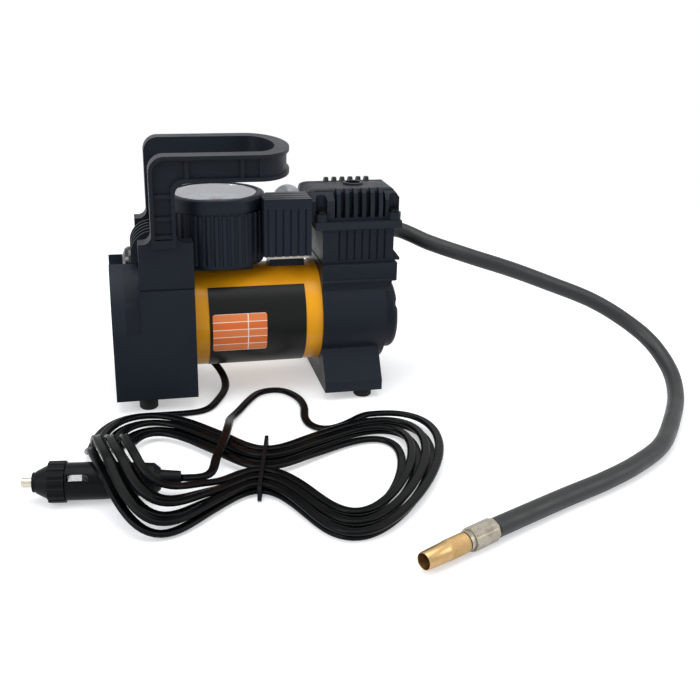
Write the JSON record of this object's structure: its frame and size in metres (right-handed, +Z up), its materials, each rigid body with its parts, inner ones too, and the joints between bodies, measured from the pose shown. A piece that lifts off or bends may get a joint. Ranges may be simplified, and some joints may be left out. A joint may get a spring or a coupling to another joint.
{
  "type": "portable tire inflator",
  "caption": "Portable 12 V tire inflator: piston compressor beside a motor can, round gauge on top, carrying handle, work lamp, air hose with chuck, and a plug on a tied cord.",
  "frame": {"origin": "on the ground below the middle of the machine without its cord and hose", "axes": "+X along the motor shaft towards the compressor, +Y towards the back, away from the label, +Z up"},
  "size_m": [0.3973, 0.2794, 0.153],
  "materials": {
    "black_plastic": "satin moulded",
    "inner_plastic": "moulded",
    "screw_steel": "zinc plated",
    "yellow_paint": "gloss",
    "label_film": "gloss film",
    "sintered_bronze": "sintered",
    "carbon": "matt carbon",
    "cast_alloy": "as cast",
    "bright_steel": "ground",
    "ferrite": "sintered",
    "lamination_steel": "stacked sheet",
    "copper_wire": "enamelled",
    "copper_bar": "turned",
    "black_paint": "satin black",
    "white_seal": "PTFE",
    "bare_aluminium": "honed",
    "gasket": "fibre sheet",
    "clear_lens": "clear moulded",
    "dial_face": "matt white",
    "needle_red": "matt",
    "brass": "turned",
    "rocker_red": "gloss",
    "clear_rubber": "clear soft moulding",
    "led_white": "clear",
    "black_rubber": "matt",
    "cord_jacket": "soft vinyl",
    "tie_plastic": "moulded",
    "plug_metal": "plated",
    "hose_rubber": "matt",
    "ferrule_metal": "crimped"
  },
  "bodies": {
    "machine": {"rear_housing": "black_plastic", "rear_cover": "black_plastic", "cover_screws": "screw_steel", "handle": "black_plastic", "handle_screws": "screw_steel", "motor_can": "yellow_paint", "label_plate": "label_film", "motor_rear_bell": "inner_plastic", "rear_bush": "sintered_bronze", "brushes": "carbon", "front_plate": "cast_alloy", "front_bearing": "bright_steel", "magnets": "ferrite", "crankcase": "black_paint", "crankcase_cover": "black_paint", "crankcase_screws": "screw_steel", "cylinder_sleeve": "bare_aluminium", "cylinder_block": "black_paint", "valve_plate": "bright_steel", "head_gasket": "gasket", "cylinder_head": "black_paint", "head_screws": "screw_steel", "outlet_fitting": "bright_steel", "gauge_housing": "black_plastic", "gauge_bezel": "black_plastic", "gauge_lens": "clear_lens", "gauge_dial": "dial_face", "gauge_movement": "brass", "switch_housing": "black_plastic", "switch_body": "inner_plastic", "switch_cap": "clear_rubber", "lamp_bezel": "black_plastic", "lamp_lens": "clear_lens", "lamp_led": "led_white", "feet": "black_rubber", "strain_relief": "black_rubber", "cord_lead": "cord_jacket", "cord_hank": "cord_jacket", "cord_tail": "cord_jacket", "cord_tie": "tie_plastic", "plug_body": "black_plastic", "hose": "hose_rubber", "hose_ferrule": "ferrule_metal"},
    "rotor": {"armature_core": "lamination_steel", "windings": "copper_wire", "commutator": "copper_bar", "motor_shaft": "bright_steel", "cooling_fan": "inner_plastic", "crank_disc": "cast_alloy"},
    "piston": {"connecting_rod": "cast_alloy", "rod_bearing": "bright_steel", "piston_seal": "white_seal"},
    "needle": {"gauge_needle": "needle_red"},
    "rocker": {"switch_rocker": "rocker_red"},
    "plug_pin": {"plug_tip": "plug_metal"},
    "contact_front": {"plug_contact_front": "bright_steel"},
    "contact_back": {"plug_contact_back": "bright_steel"},
    "nut": {"plug_nut": "black_plastic"},
    "chuck": {"chuck_sleeve": "brass", "chuck_seal": "black_rubber"}
  },
  "joints": [
    {"name": "rotor_spin", "type": "hinge", "parent": "machine", "child": "rotor", "pos_m": [0, 0, 0.048], "axis": [1, 0, 0], "continuous": true},
    {"name": "piston_slide", "type": "slide", "parent": "machine", "child": "piston", "axis": [0, 0, 1], "range_m": [-0.012, 0]},
    {"name": "needle_turn", "type": "hinge", "parent": "machine", "child": "needle", "pos_m": [-0.0234, 0, 0.118], "axis": [0, 0, 1], "range_deg": [-270, 0], "stiffness_Nm_per_rad": 0.0005},
    {"name": "rocker_tilt", "type": "hinge", "parent": "machine", "child": "rocker", "pos_m": [0.0215, 0.005, 0.1155], "axis": [0, 1, 0], "range_deg": [0, 16]},
    {"name": "plug_pin_press", "type": "slide", "parent": "machine", "child": "plug_pin", "axis": [0.9925, -0.1219, 0], "range_m": [0, 0.003], "stiffness_N_per_m": 900, "springref_m": -0.002},
    {"name": "contact_front_press", "type": "slide", "parent": "machine", "child": "contact_front", "axis": [0.0986, 0.803, -0.5878], "range_m": [0, 0.0012], "stiffness_N_per_m": 1500, "springref_m": -0.001},
    {"name": "contact_back_press", "type": "slide", "parent": "machine", "child": "contact_back", "axis": [-0.0986, -0.803, 0.5878], "range_m": [0, 0.0012], "stiffness_N_per_m": 1500, "springref_m": -0.001},
    {"name": "nut_turn", "type": "hinge", "parent": "machine", "child": "nut", "pos_m": [-0.11813, -0.13657, 0.0104], "axis": [0.9925, -0.1219, 0], "continuous": true},
    {"name": "chuck_turn", "type": "hinge", "parent": "machine", "child": "chuck", "pos_m": [0.05465, -0.22807, 0.0063], "axis": [-0.8918, -0.4524, 0], "continuous": true}
  ]
}
